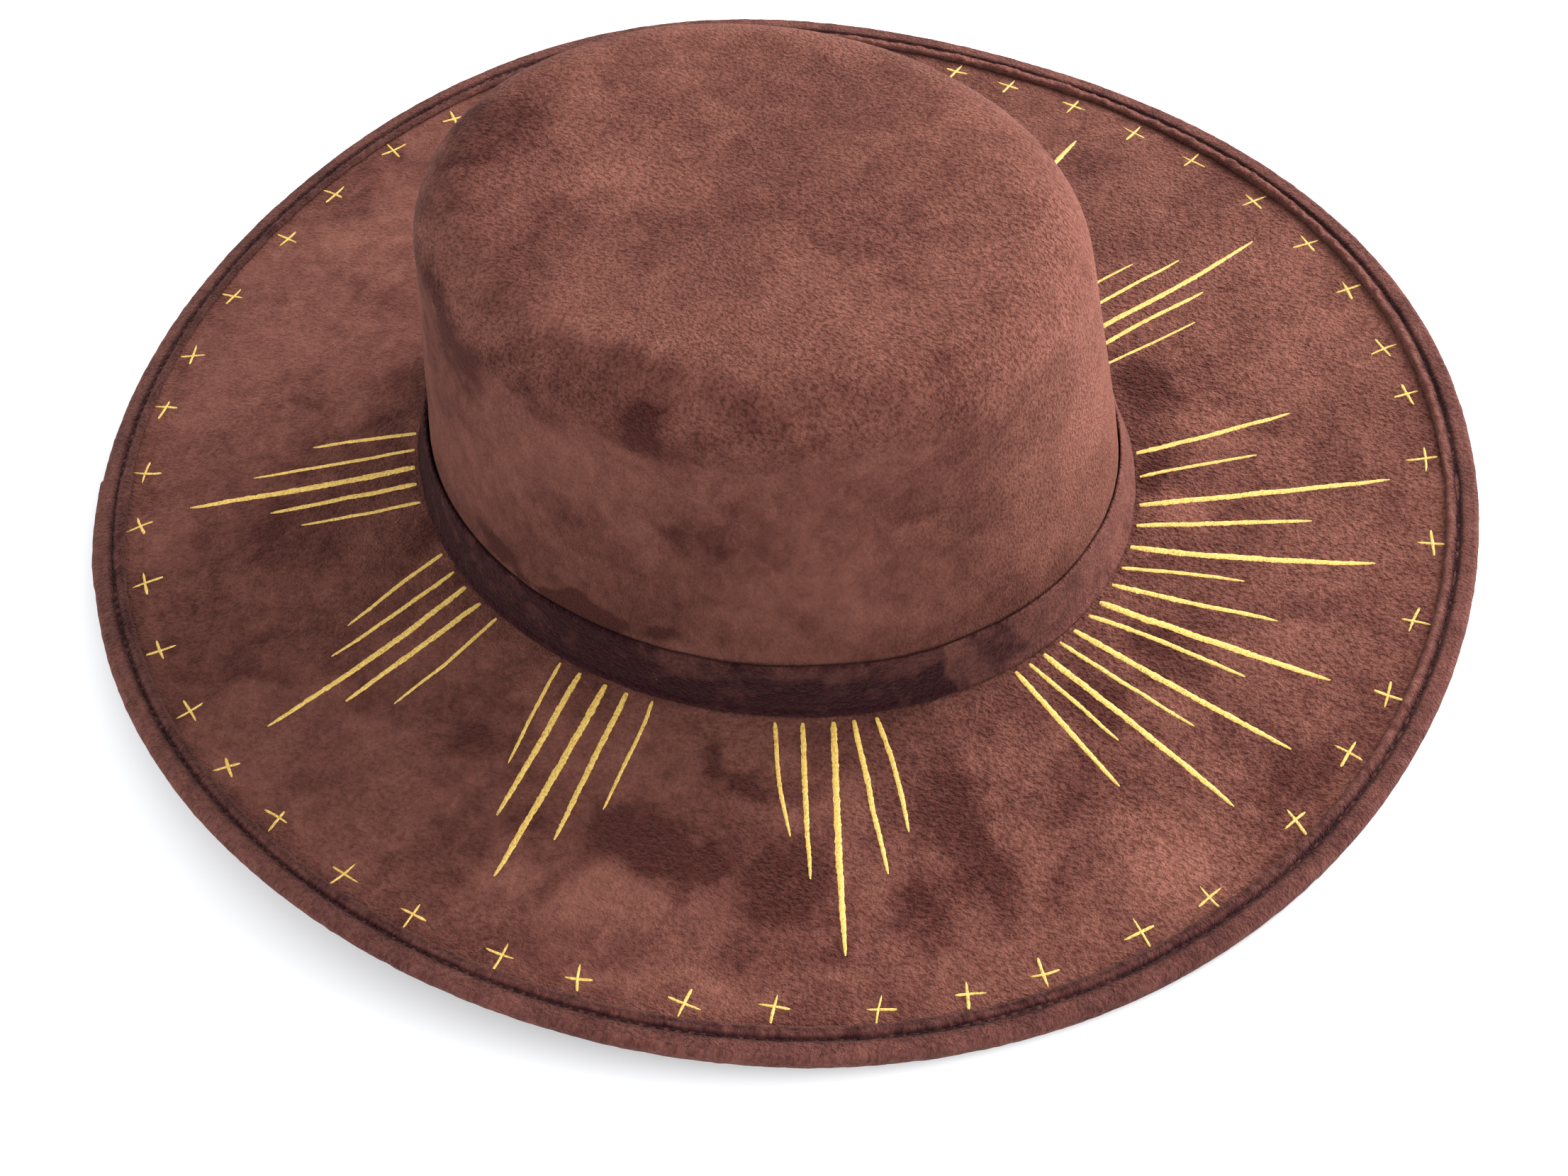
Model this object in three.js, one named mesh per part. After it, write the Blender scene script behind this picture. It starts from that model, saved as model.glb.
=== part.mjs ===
// A wide-brimmed hat with a flat-topped oval crown, taken apart into the pieces that it is sewn from.
// Millimetres, +Z up. The wearer faces -Y. The origin is on the surface that the hat stands on, under
// the middle of the head oval. A bearing is an angle from the front, turning towards +X.

import * as THREE from "three";
import { mergeVertices } from "three/addons/utils/BufferGeometryUtils.js";

// Head oval: the outside of the crown wall at the top edge of the hat band.
const HEAD_HALF_LENGTH = 104;
const HEAD_HALF_WIDTH = 86;
const HEAD_RADIUS = Math.sqrt(HEAD_HALF_LENGTH * HEAD_HALF_WIDTH);

// Crown: heights are above the seam where the crown meets the brim.
const CROWN_HEIGHT = 108;
const CROWN_TAPER = 0.13; // how far the wall leans in for each millimetre of height
const CROWN_EDGE_RADIUS = 20; // the soft shoulder between the wall and the flat top
const CROWN_BOTTOM = -0.9;
const COVER_THICKNESS = 0.8;
const STIFFENER_THICKNESS = 1.2;
const LINING_THICKNESS = 0.5;

// Hat band: a strip round the foot of the crown, which flares out over the brim.
const BAND_HEIGHT = 17;
const BAND_TOP_THICKNESS = 1.4;
const BAND_FOOT_OFFSET = 5.6;

// Brim: its width is measured outwards from the head oval.
const BRIM_WIDTH = 106.3;
const BRIM_SIDE_EXTRA = 3.6; // wider by this at the sides and narrower by it at the front and back
const BRIM_START = 2.6;
const BRIM_END = 101.8;
const BRIM_UPPER_THICKNESS = 0.6;
const BRIM_CORE_THICKNESS = 1;
const BRIM_UNDER_THICKNESS = 0.5;

// The brim edge stands on three low places and lifts between them, each lift starting at its low place.
const BRIM_EDGE_DROP = 5.9;
const BRIM_LOW_BEARINGS = [84, 180, 324];
const BRIM_LIFTS = [8.7, 15.2, 10];

// Binding: a strip folded over the brim edge. The wire that keeps the edge in shape runs inside it.
const BINDING_WIDTH = 9.5;
const BINDING_THICKNESS = 0.6;
const WIRE_RADIUS = 0.8;
const WIRE_OFFSET = 103.7;
const WIRE_JOINT_BEARING = 186;
const WIRE_JOINT_GAP = 1; // between the two ends of the wire
const SLEEVE_LENGTH = 22;
const SLEEVE_WALL = 0.3;

// Inside of the crown.
const SWEATBAND_TOP = 32;
const SWEATBAND_FOOT = -4.3;
const SWEATBAND_THICKNESS = 1.2;
const TAPE_HEIGHT = 12;
const TAPE_THICKNESS = 0.8;
const REED_RADIUS = 0.7;
const REED_OFFSET = 0.1;
const REED_HEIGHT = -2.1;
const LINING_FOOT = 20;
const BOW_THICKNESS = 1.6;
const BOW_HEIGHT = 22; // of its knot
const BOW_SLACK = 0.3; // the flat bow bridges the curve of the sweatband by this much
const LABEL_THICKNESS = 0.5;
const LABEL_WIDTH = 18;
const LABEL_LENGTH = 26;
const LABEL_HEIGHT = 11; // of its middle
const LABEL_BEARING = 215;

const GAP = 0.3; // between neighbouring pieces
const AROUND = 60; // steps round the hat

// Levels of the brim's layers, down from its upper face, and of the binding round them.
const CORE_TOP = -BRIM_UPPER_THICKNESS - GAP;
const UNDER_TOP = CORE_TOP - BRIM_CORE_THICKNESS - GAP;
const BRIM_UNDERSIDE = UNDER_TOP - BRIM_UNDER_THICKNESS;
const BINDING_TOP = GAP + BINDING_THICKNESS;
const BINDING_BOTTOM = BRIM_UNDERSIDE - GAP - BINDING_THICKNESS;
const WIRE_HEIGHT = (BINDING_TOP + BINDING_BOTTOM) / 2;
const NOSE_RADIUS = (BINDING_TOP - BINDING_BOTTOM) / 2; // the binding's round outer edge
const NOSE_OFFSET = BRIM_WIDTH - NOSE_RADIUS;

// The seam above the surface that the hat stands on, which the binding touches where its nose starts.
const SEAM_HEIGHT = BRIM_EDGE_DROP * (NOSE_OFFSET / BRIM_WIDTH) ** 2 - BINDING_BOTTOM;

// Depths of the crown's layers, inwards from the outside of the cover.
const STIFFENER_DEPTH = COVER_THICKNESS + GAP;
const LINING_DEPTH = STIFFENER_DEPTH + STIFFENER_THICKNESS + GAP;
const SWEATBAND_DEPTH = LINING_DEPTH + TAPE_THICKNESS + GAP;
const WORN_DEPTH = SWEATBAND_DEPTH + SWEATBAND_THICKNESS + GAP; // for what lies on the sweatband

const radians = THREE.MathUtils.degToRad;

// How far the brim edge lies above its lowest places at a bearing.
function edgeLift(bearing) {
  const turn = THREE.MathUtils.euclideanModulo(
    THREE.MathUtils.radToDeg(bearing) - BRIM_LOW_BEARINGS[0],
    360,
  );
  const starts = BRIM_LOW_BEARINGS.map((low) => low - BRIM_LOW_BEARINGS[0]);
  const ends = [...starts.slice(1), 360];
  const i = ends.findIndex((end) => turn <= end);
  const share = (turn - starts[i]) / (ends[i] - starts[i]);
  return (BRIM_LIFTS[i] * (1 - Math.cos(2 * Math.PI * share))) / 2;
}

// The point at a bearing, at an offset outwards from the head oval and a height above the seam.
// Offsets run square to the oval. Further in than the flat top's edge they close on its middle.
function place(bearing, offset, height) {
  const sin = Math.sin(bearing);
  const cos = Math.cos(bearing);
  const outward = new THREE.Vector2(HEAD_HALF_LENGTH * sin, -HEAD_HALF_WIDTH * cos).normalize();
  const point = new THREE.Vector2(HEAD_HALF_WIDTH * sin, -HEAD_HALF_LENGTH * cos);
  const share = Math.max(offset, 0) / BRIM_WIDTH;
  const widening = -BRIM_SIDE_EXTRA * Math.cos(2 * bearing) * share;
  point.addScaledVector(outward, Math.max(offset, FLAT_TOP_OFFSET) + widening);
  const closing = (HEAD_RADIUS + offset) / (HEAD_RADIUS + FLAT_TOP_OFFSET);
  point.multiplyScalar(Math.min(closing, 1));
  const rise = (edgeLift(bearing) - BRIM_EDGE_DROP) * share ** 2;
  return new THREE.Vector3(point.x, point.y, SEAM_HEIGHT + height + rise);
}

// A closed body from a geometry whose vertices have been moved: shared vertices joined, and the
// triangles that have shrunk to nothing left out.
function closedBody(geometry) {
  geometry.deleteAttribute("normal");
  geometry.deleteAttribute("uv");
  const merged = mergeVertices(geometry, 1e-4);
  const corners = merged.index.array;
  const kept = [];
  for (let i = 0; i < corners.length; i += 3) {
    const [a, b, c] = corners.slice(i, i + 3);
    if (a !== b && b !== c && c !== a) kept.push(a, b, c);
  }
  merged.setIndex(kept);
  merged.computeVertexNormals();
  return merged;
}

function moveVertices(geometry, move) {
  const position = geometry.getAttribute("position");
  for (let i = 0; i < position.count; i++) {
    const moved = move(position.getX(i), position.getY(i), position.getZ(i));
    position.setXYZ(i, moved.x, moved.y, moved.z);
  }
  return closedBody(geometry);
}

// A ring or a cap: a profile of [offset, height] points taken all the way round the hat.
// The profile runs upwards on its outer side.
function allRound(profile) {
  const points = profile.map(([offset, height]) => new THREE.Vector2(HEAD_RADIUS + offset, height));
  const geometry = new THREE.LatheGeometry(points, AROUND);
  return moveVertices(geometry, (x, y, z) =>
    place(Math.atan2(x, z), Math.hypot(x, z) - HEAD_RADIUS, y),
  );
}

// Lays a small piece on the hat: its x adds to the offset that offsetAt gives for a height, its y runs
// round the hat, and its z is the height above the piece's own height.
function wrapOn(geometry, bearing, height, offsetAt) {
  const step = 0.01;
  const ends = [bearing - step, bearing + step].map((b) => place(b, offsetAt(height), height));
  const radius = ends[0].distanceTo(ends[1]) / (2 * step);
  return moveVertices(geometry, (x, y, z) =>
    place(bearing + y / radius, offsetAt(height + z) + x, height + z),
  );
}

// The crown's wall line leans in at the taper, and its shoulder is an arc that meets it smoothly.
const WALL_LEAN = Math.atan(CROWN_TAPER);
const SHOULDER_HEIGHT = CROWN_HEIGHT - CROWN_EDGE_RADIUS;
const FLAT_TOP_OFFSET =
  wallOffset(SHOULDER_HEIGHT + CROWN_EDGE_RADIUS * Math.sin(WALL_LEAN), 0) -
  CROWN_EDGE_RADIUS * Math.cos(WALL_LEAN);

// The offset of the wall at a height, at a depth in from the outside of the cover.
function wallOffset(height, depth) {
  return -CROWN_TAPER * (height - BAND_HEIGHT) - depth / Math.cos(WALL_LEAN);
}

// The shoulder as profile points, from one angle above the horizontal to another.
function shoulder(depth, from, to, steps) {
  const radius = CROWN_EDGE_RADIUS - depth;
  return Array.from({ length: steps + 1 }, (_, i) => {
    const angle = from + ((to - from) * i) / steps;
    return [FLAT_TOP_OFFSET + radius * Math.cos(angle), SHOULDER_HEIGHT + radius * Math.sin(angle)];
  });
}

function wall(depth, bottom) {
  return [bottom, BAND_HEIGHT].map((height) => [wallOffset(height, depth), height]);
}

// One layer of the crown: wall, shoulder and flat top.
function crownLayer(depth, thickness) {
  const line = (d) => [
    ...wall(d, CROWN_BOTTOM),
    ...shoulder(d, WALL_LEAN, Math.PI / 2, 5),
    [-HEAD_RADIUS, CROWN_HEIGHT - d],
  ];
  return allRound([
    ...line(depth),
    ...line(depth + thickness).reverse(),
    [wallOffset(CROWN_BOTTOM, depth), CROWN_BOTTOM],
  ]);
}

// The oval of lining cloth under the flat top, with its edge turned down the shoulder.
function tipLining() {
  const line = (d) => [
    ...shoulder(d, radians(55), Math.PI / 2, 2),
    [-HEAD_RADIUS, CROWN_HEIGHT - d],
  ];
  const outer = line(LINING_DEPTH);
  return allRound([...outer, ...line(LINING_DEPTH + LINING_THICKNESS).reverse(), outer[0]]);
}

// The strip of lining cloth from the tip lining down behind the sweatband.
function sideLining() {
  const line = (d) => [
    [wallOffset(LINING_FOOT, d), LINING_FOOT],
    ...shoulder(d, WALL_LEAN, radians(52), 3),
  ];
  const outer = line(LINING_DEPTH);
  return allRound([...outer, ...line(LINING_DEPTH + LINING_THICKNESS).reverse(), outer[0]]);
}

// The tape that is sewn over the seam between the crown and the brim, on the inside.
function headsizeTape() {
  const outer = [0, TAPE_HEIGHT].map((height) => [wallOffset(height, LINING_DEPTH), height]);
  const inner = outer.map(([offset, height]) => [offset - TAPE_THICKNESS, height]);
  return allRound([...outer, ...inner.reverse(), outer[0]]);
}

// The sweatband stands inside the wall, and its foot is turned out under the reed.
function sweatband() {
  const foldTop = SWEATBAND_FOOT + SWEATBAND_THICKNESS;
  const top = wallOffset(SWEATBAND_TOP, SWEATBAND_DEPTH);
  const bottom = wallOffset(foldTop, SWEATBAND_DEPTH);
  const start = [1, SWEATBAND_FOOT];
  return allRound([
    start,
    [1, foldTop],
    [bottom, foldTop],
    [top, SWEATBAND_TOP],
    [top - SWEATBAND_THICKNESS, SWEATBAND_TOP],
    [bottom - SWEATBAND_THICKNESS, foldTop],
    [bottom - SWEATBAND_THICKNESS + 0.5, SWEATBAND_FOOT],
    start,
  ]);
}

// A cord all the way round, as points of its round section. The section closes on itself.
function roundSection(offset, height, radius, sides) {
  return Array.from({ length: sides + 1 }, (_, i) => {
    const angle = (2 * Math.PI * (i % sides)) / sides;
    return [offset + radius * Math.cos(angle), height + radius * Math.sin(angle)];
  });
}

function hatBand() {
  const foot = GAP;
  const start = [wallOffset(foot, 0) + GAP, foot];
  return allRound([
    start,
    [BAND_FOOT_OFFSET - 0.5, foot],
    [BAND_FOOT_OFFSET, foot + 1],
    [BAND_TOP_THICKNESS + GAP, BAND_HEIGHT - 0.6],
    [BAND_TOP_THICKNESS, BAND_HEIGHT],
    [GAP, BAND_HEIGHT],
    start,
  ]);
}

// One layer of the brim, between two levels.
function brimLayer(top, bottom) {
  const bindingEdge = BRIM_WIDTH - BINDING_WIDTH;
  const offsets = [BRIM_START, 28, 54, 77, bindingEdge, BRIM_END];
  const lower = offsets.map((offset) => [offset, bottom]);
  const upper = offsets.map((offset) => [offset, top]);
  return allRound([...lower, ...upper.reverse(), lower[0]]);
}

// The strip folded over the brim edge: two flat sides and a round nose.
function binding() {
  const nose = (radius, steps) =>
    Array.from({ length: steps + 1 }, (_, i) => {
      const angle = Math.PI * (i / steps - 0.5);
      return [NOSE_OFFSET + radius * Math.cos(angle), WIRE_HEIGHT + radius * Math.sin(angle)];
    });
  const edge = BRIM_WIDTH - BINDING_WIDTH;
  const start = [edge, BINDING_BOTTOM];
  return allRound([
    start,
    ...nose(NOSE_RADIUS, 6),
    [edge, BINDING_TOP],
    [edge, BINDING_TOP - BINDING_THICKNESS],
    ...nose(NOSE_RADIUS - BINDING_THICKNESS, 4).reverse(),
    [edge, BINDING_BOTTOM + BINDING_THICKNESS],
    start,
  ]);
}

// The edge wire, open at its joint. The cylinder's length runs round the hat.
function brimWire() {
  const geometry = new THREE.CylinderGeometry(WIRE_RADIUS, WIRE_RADIUS, 1, 6, 2 * AROUND);
  const opening = WIRE_JOINT_GAP / (HEAD_HALF_WIDTH + WIRE_OFFSET);
  const opposite = radians(WIRE_JOINT_BEARING) + Math.PI;
  return moveVertices(geometry, (x, y, z) =>
    place(opposite + y * (2 * Math.PI - opening), WIRE_OFFSET + x, WIRE_HEIGHT + z),
  );
}

// The crimped sleeve that joins the two ends of the wire.
function wireSleeve() {
  const inner = WIRE_RADIUS + GAP;
  const outer = inner + SLEEVE_WALL;
  const along = [-1, -0.5, 0, 0.5, 1].map((share) => (share * SLEEVE_LENGTH) / 2);
  const outside = along.map((y) => new THREE.Vector2(outer, y));
  const inside = along.map((y) => new THREE.Vector2(inner, y));
  const geometry = new THREE.LatheGeometry([...outside, ...inside.reverse(), outside[0]], 12);
  return wrapOn(geometry, radians(WIRE_JOINT_BEARING), WIRE_HEIGHT, () => WIRE_OFFSET);
}

// A flat ribbon bow that hides where the sweatband's ends meet: two loops, a knot and two tails.
function sweatbandBow() {
  const outline = new THREE.Shape();
  outline.moveTo(0, 1.6);
  for (const side of [1, -1]) {
    const across = (x) => side * x;
    const path = [
      [across(2), 1.8],
      [across(8), 4.6],
      [across(12.5), 4],
      [across(12.5), -2],
      [across(8), -3],
      [across(3), -1.6],
      [across(9), -8],
      [across(6), -9],
      [0, -1.8],
    ];
    const ordered = side === 1 ? path : path.slice(0, -1).reverse();
    ordered.forEach(([x, y]) => outline.lineTo(x, y));
  }
  const geometry = new THREE.ExtrudeGeometry(outline, { depth: BOW_THICKNESS, bevelEnabled: false });
  geometry.rotateY(Math.PI / 2);
  geometry.rotateX(Math.PI / 2);
  geometry.translate(-BOW_THICKNESS, 0, 0);
  return wrapOn(geometry, Math.PI, BOW_HEIGHT, (height) => wallOffset(height, WORN_DEPTH) - BOW_SLACK);
}

// A blank label whose top edge is caught under the sweatband's edge.
function careLabel() {
  const geometry = new THREE.BoxGeometry(LABEL_THICKNESS, LABEL_WIDTH, LABEL_LENGTH, 1, 4, 1);
  geometry.translate(-LABEL_THICKNESS / 2, 0, 0);
  const bearing = radians(LABEL_BEARING);
  return wrapOn(geometry, bearing, LABEL_HEIGHT, (height) => wallOffset(height, WORN_DEPTH));
}

function cloth(color) {
  return new THREE.MeshStandardMaterial({ color, roughness: 0.95, metalness: 0 });
}

const suede = cloth(0x6e4038);
const darkSuede = cloth(0x53302c);
const stiffening = cloth(0xb9ab93);
const satin = cloth(0x2a1d1a);
const webbing = cloth(0x3a2722);
const steel = new THREE.MeshStandardMaterial({ color: 0x8c8f92, roughness: 0.35, metalness: 1 });
const plastic = new THREE.MeshStandardMaterial({ color: 0x8f8577, roughness: 0.6, metalness: 0 });

const pieces = [
  ["crown_cover", crownLayer(0, COVER_THICKNESS), suede],
  ["crown_stiffener", crownLayer(STIFFENER_DEPTH, STIFFENER_THICKNESS), stiffening],
  ["crown_tip_lining", tipLining(), satin],
  ["crown_side_lining", sideLining(), satin],
  ["headsize_tape", headsizeTape(), webbing],
  ["sweatband", sweatband(), webbing],
  ["sweatband_reed", allRound(roundSection(REED_OFFSET, REED_HEIGHT, REED_RADIUS, 6)), plastic],
  ["sweatband_bow", sweatbandBow(), webbing],
  ["care_label", careLabel(), stiffening],
  ["hat_band", hatBand(), darkSuede],
  ["brim_upper_cover", brimLayer(0, -BRIM_UPPER_THICKNESS), suede],
  ["brim_core", brimLayer(CORE_TOP, CORE_TOP - BRIM_CORE_THICKNESS), stiffening],
  ["brim_under_cover", brimLayer(UNDER_TOP, BRIM_UNDERSIDE), suede],
  ["brim_binding", binding(), darkSuede],
  ["brim_wire", brimWire(), steel],
  ["wire_joint_sleeve", wireSleeve(), steel],
];

const hat = new THREE.Group();
for (const [name, geometry, material] of pieces) {
  const mesh = new THREE.Mesh(geometry, material);
  mesh.name = name;
  hat.add(mesh);
}

export default hat;
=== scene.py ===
"""A wide-brimmed suede hat with a flat-topped oval crown, painted with gold rays and plus marks.

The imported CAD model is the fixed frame. Every soft layer that shows gets a finer piece here, in its place.
Lengths are in millimetres until mesh_piece() turns them into metres. A bearing is an angle from the
front of the hat (-Y), turning towards +X. An offset runs outwards from the head oval, which is the outside
of the crown wall at the top of the hat band, and a height is above the seam between crown and brim.
"""

import itertools
import math

import bmesh
import bpy
import numpy as np
from mathutils import Matrix, Vector


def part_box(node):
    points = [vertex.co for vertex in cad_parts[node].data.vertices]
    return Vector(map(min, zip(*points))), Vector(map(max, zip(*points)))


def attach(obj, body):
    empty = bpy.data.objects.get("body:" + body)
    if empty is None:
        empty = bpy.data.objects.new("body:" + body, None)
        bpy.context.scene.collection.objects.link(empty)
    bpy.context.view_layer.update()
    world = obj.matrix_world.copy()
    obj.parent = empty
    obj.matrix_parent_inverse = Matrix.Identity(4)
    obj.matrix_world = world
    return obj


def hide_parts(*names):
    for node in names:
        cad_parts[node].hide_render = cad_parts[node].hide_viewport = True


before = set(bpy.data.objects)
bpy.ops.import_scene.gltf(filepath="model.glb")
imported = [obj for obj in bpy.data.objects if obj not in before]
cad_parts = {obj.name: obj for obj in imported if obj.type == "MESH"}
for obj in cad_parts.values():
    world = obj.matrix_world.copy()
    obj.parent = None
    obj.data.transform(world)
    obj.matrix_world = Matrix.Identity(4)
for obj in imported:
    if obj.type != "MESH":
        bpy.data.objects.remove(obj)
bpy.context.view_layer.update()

MM = 0.001


def node_box(name):
    """A CAD node's lowest and highest corners, in millimetres."""
    low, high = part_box(name)
    return np.array(low) / MM, np.array(high) / MM


# Driving dimensions of the CAD model that its boxes don't give.
CROWN_TAPER = 0.13
CROWN_EDGE_RADIUS = 20
CROWN_BOTTOM = -0.9
BRIM_WIDTH = 106.3
BRIM_SIDE_EXTRA = 3.6
BRIM_START = 2.6
BRIM_END = 101.8
BRIM_EDGE_DROP = 5.9
BRIM_LOW_BEARINGS = (84, 180, 324)
BRIM_LIFTS = (8.7, 15.2, 10)
COVER_THICKNESS = 0.8
BRIM_COVER_THICKNESS = 0.6
BRIM_UNDER_THICKNESS = 0.5
BRIM_UNDERSIDE = -2.7
BINDING_WIDTH = 9.5
BINDING_THICKNESS = 0.6
LABEL_BEARING = 215
BOW_HEIGHT = 22
GAP = 0.3
LINING_DEPTH = 2.6
LINING_THICKNESS = 0.5
LINING_FOOT = 20
SWEATBAND_DEPTH = 3.7
SWEATBAND_THICKNESS = 1.2
SWEATBAND_FOOT = -4.3

# Sewing and paint, which only the visual model has.
STITCH_COUNT = 380
STITCH_OFFSET = 100.2
SWEATBAND_RIBS = 340
BINDING_JOIN = 203
RAY_START = 7.5
MARK_COUNT = 47
MARK_OFFSET = 91.8
PAINT_HEIGHTS = (-0.12, 0.13, 0.2, 0.13, -0.12)  # across a stroke, above the cloth

# A ray is long, middling or short: how far out it reaches, and its width.
LONG, MIDDLING, SHORT = (77, 2.1), (55, 1.7), (43, 1.3)
BUNCH = (SHORT, MIDDLING, LONG, MIDDLING, SHORT)
FAN = (
    *(MIDDLING, SHORT, LONG, MIDDLING, LONG, MIDDLING, LONG),
    *(MIDDLING, SHORT, LONG, MIDDLING, LONG, SHORT, MIDDLING),
)

# Where the bunches stand round the hat, and how many degrees their tips lean to one side.
BUNCHES = ((52, 0), (77, 0), (102, 0), (127, 0), (152, 0), (207, 1), (236, 2), (265, 2), (299, 2))

# The rest comes from the frame.
SEAM = node_box("headsize_tape")[0][2]
CROWN_HEIGHT = node_box("crown_cover")[1][2] - SEAM
BAND_HEIGHT = node_box("hat_band")[1][2] - SEAM
SWEATBAND_TOP = node_box("sweatband")[1][2] - SEAM
WALL_FOOT_OFFSET = CROWN_TAPER * (BAND_HEIGHT - CROWN_BOTTOM)
HALF_WIDTH = node_box("crown_cover")[1][0] - WALL_FOOT_OFFSET
HALF_LENGTH = node_box("crown_cover")[1][1] - WALL_FOOT_OFFSET
HEAD_RADIUS = math.sqrt(HALF_WIDTH * HALF_LENGTH)
WALL_LEAN = math.atan(CROWN_TAPER)
SHOULDER_HEIGHT = CROWN_HEIGHT - CROWN_EDGE_RADIUS
BINDING_TOP = GAP + BINDING_THICKNESS
BINDING_BOTTOM = BRIM_UNDERSIDE - GAP - BINDING_THICKNESS
BINDING_MIDDLE = (BINDING_TOP + BINDING_BOTTOM) / 2
NOSE_RADIUS = (BINDING_TOP - BINDING_BOTTOM) / 2
NOSE_OFFSET = BRIM_WIDTH - NOSE_RADIUS
BINDING_START = BRIM_WIDTH - BINDING_WIDTH


def wall_offset(height, depth=0.0):
    """The crown wall's offset at a height, at a depth in from the outside of the cover."""
    return -CROWN_TAPER * (height - BAND_HEIGHT) - depth / math.cos(WALL_LEAN)


FLAT_TOP_OFFSET = wall_offset(SHOULDER_HEIGHT + CROWN_EDGE_RADIUS * math.sin(WALL_LEAN))
FLAT_TOP_OFFSET -= CROWN_EDGE_RADIUS * math.cos(WALL_LEAN)


# -------- shape of the hat


def edge_lift(bearing):
    """How far the brim edge lies above its lowest places."""
    turn = (np.degrees(bearing) - BRIM_LOW_BEARINGS[0]) % 360
    starts = [low - BRIM_LOW_BEARINGS[0] for low in BRIM_LOW_BEARINGS]
    lift = np.zeros_like(turn)
    for start, end, height in zip(starts, starts[1:] + [360], BRIM_LIFTS):
        share = np.clip((turn - start) / (end - start), 0, 1)
        lift += height * (1 - np.cos(2 * np.pi * share)) / 2
    return lift


def place(bearing, offset, height):
    """Points of the row frame, in millimetres, as an array with x, y, z last."""
    bearing, offset, height = np.broadcast_arrays(*map(np.asarray, (bearing, offset, height)))
    sin, cos = np.sin(bearing), np.cos(bearing)
    out_x, out_y = HALF_LENGTH * sin, -HALF_WIDTH * cos
    length = np.hypot(out_x, out_y)
    share = np.maximum(offset, 0) / BRIM_WIDTH
    reach = np.maximum(offset, FLAT_TOP_OFFSET) - BRIM_SIDE_EXTRA * np.cos(2 * bearing) * share
    closing = np.minimum((HEAD_RADIUS + offset) / (HEAD_RADIUS + FLAT_TOP_OFFSET), 1)
    x = (HALF_WIDTH * sin + out_x / length * reach) * closing
    y = (-HALF_LENGTH * cos + out_y / length * reach) * closing
    z = SEAM + height + (edge_lift(bearing) - BRIM_EDGE_DROP) * share**2
    return np.stack([x, y, z], axis=-1)


def bearing_of(points):
    return np.arctan2(points[..., 0] / HALF_WIDTH, -points[..., 1] / HALF_LENGTH)


def degrees_from_front(points):
    """Bearings in degrees, from -180 to 180."""
    return np.degrees(bearing_of(points))


def soft_noise(points, size, seed):
    """Smooth noise from -1 to 1, with bumps about size across."""
    lattice = np.random.default_rng(seed).uniform(-1, 1, (32, 32, 32))
    scaled = np.asarray(points) / size
    cell = np.floor(scaled).astype(int)
    t = scaled - cell
    t = t * t * (3 - 2 * t)
    total = np.zeros(scaled.shape[:-1])
    for corner in itertools.product((0, 1), repeat=3):
        weight = np.prod(np.where(corner, t, 1 - t), axis=-1)
        x, y, z = np.moveaxis((cell + corner) % 32, -1, 0)
        total += weight * lattice[x, y, z]
    return total


def smooth_step(x, low, high):
    t = np.clip((x - low) / (high - low), 0, 1)
    return t * t * (3 - 2 * t)


def along_arc(turn, start, full, fading, end):
    """1 along a stretch of bearings in degrees, fading in from start to full and out from fading to end."""
    return smooth_step(turn, start, full) * (1 - smooth_step(turn, fading, end))


def unit(vectors):
    return vectors / np.linalg.norm(vectors, axis=-1, keepdims=True)


# -------- mesh helpers


def add_object(name, data):
    thing = bpy.data.objects.new(name, data)
    bpy.context.scene.collection.objects.link(thing)
    return thing


def mesh_piece(name, points, faces, attributes=None, merge=False):
    """A smooth-shaded mesh that rides on the hat. Points are in millimetres."""
    mesh = bpy.data.meshes.new(name)
    mesh.from_pydata((np.asarray(points).reshape(-1, 3) * MM).tolist(), [], faces)
    for key, values in (attributes or {}).items():
        values = np.asarray(values, np.float32)
        kind, field = ("FLOAT", "value") if values.ndim == 1 else ("FLOAT_VECTOR", "vector")
        mesh.attributes.new(key, kind, "POINT").data.foreach_set(field, values.ravel())
    if merge:
        work = bmesh.new()
        work.from_mesh(mesh)
        bmesh.ops.remove_doubles(work, verts=work.verts, dist=1e-7)
        work.to_mesh(mesh)
        work.free()
    mesh.polygons.foreach_set("use_smooth", [True] * len(mesh.polygons))
    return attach(add_object(name, mesh), "root")


def grid_faces(rows, columns, wrap_rows=True, wrap_columns=True, start=0):
    """Quads of a grid of points. Columns run round the hat and rows along the profile."""
    j, i = np.meshgrid(
        np.arange(rows if wrap_rows else rows - 1),
        np.arange(columns if wrap_columns else columns - 1),
        indexing="ij",
    )
    next_j, next_i = (j + 1) % rows, (i + 1) % columns
    corners = [(j, i), (j, next_i), (next_j, next_i), (next_j, i)]
    quads = np.stack([a * columns + b for a, b in corners], axis=-1)
    return (quads.reshape(-1, 4) + start).tolist()


def grid_normals(points):
    """Outward unit normals of a grid that closes both ways."""
    along = np.roll(points, -1, axis=0) - np.roll(points, 1, axis=0)
    around = np.roll(points, -1, axis=1) - np.roll(points, 1, axis=1)
    normals = np.cross(around, along)
    return normals / np.maximum(np.linalg.norm(normals, axis=-1, keepdims=True), 1e-9)


def line_points(start, end, count):
    """Profile points from start up to, but not including, end."""
    t = np.linspace(0, 1, count, endpoint=False)[:, None]
    return np.asarray(start) * (1 - t) + np.asarray(end) * t


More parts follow.
